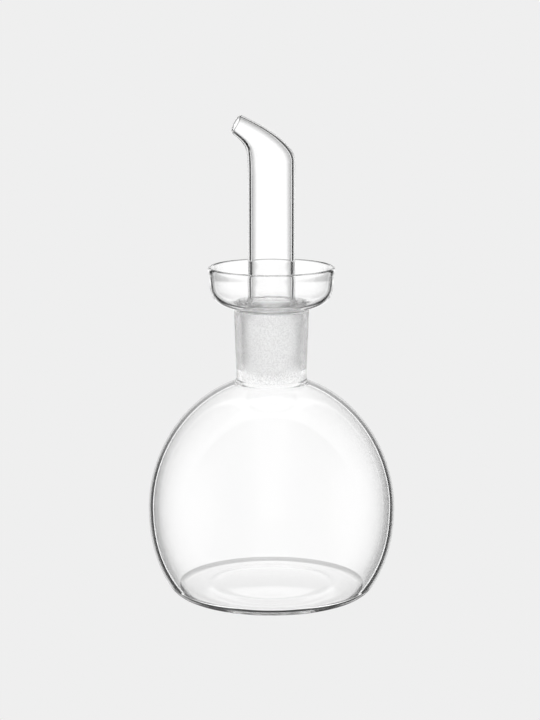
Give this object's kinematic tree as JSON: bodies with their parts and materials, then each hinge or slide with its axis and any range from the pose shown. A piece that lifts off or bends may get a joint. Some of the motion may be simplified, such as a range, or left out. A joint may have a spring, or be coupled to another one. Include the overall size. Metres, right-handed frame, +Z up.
{
  "type": "oil bottle",
  "caption": "Round clear glass oil bottle with a flat base, a ground neck, and a glass pourer with a drip dish and a bent, narrowing spout.",
  "frame": {"origin": "middle of the underside, where the foot ring rests", "axes": "+Z up along the bottle's axis; the spout points along -X"},
  "size_m": [0.0992, 0.0992, 0.1929],
  "materials": {
    "flask_glass": "clear polished borosilicate glass, finely ground inside the neck",
    "pourer_glass": "clear polished borosilicate glass, finely ground round the plug"
  },
  "bodies": {
    "root": {"bottle": "flask_glass", "pourer": "pourer_glass"}
  },
  "joints": []
}
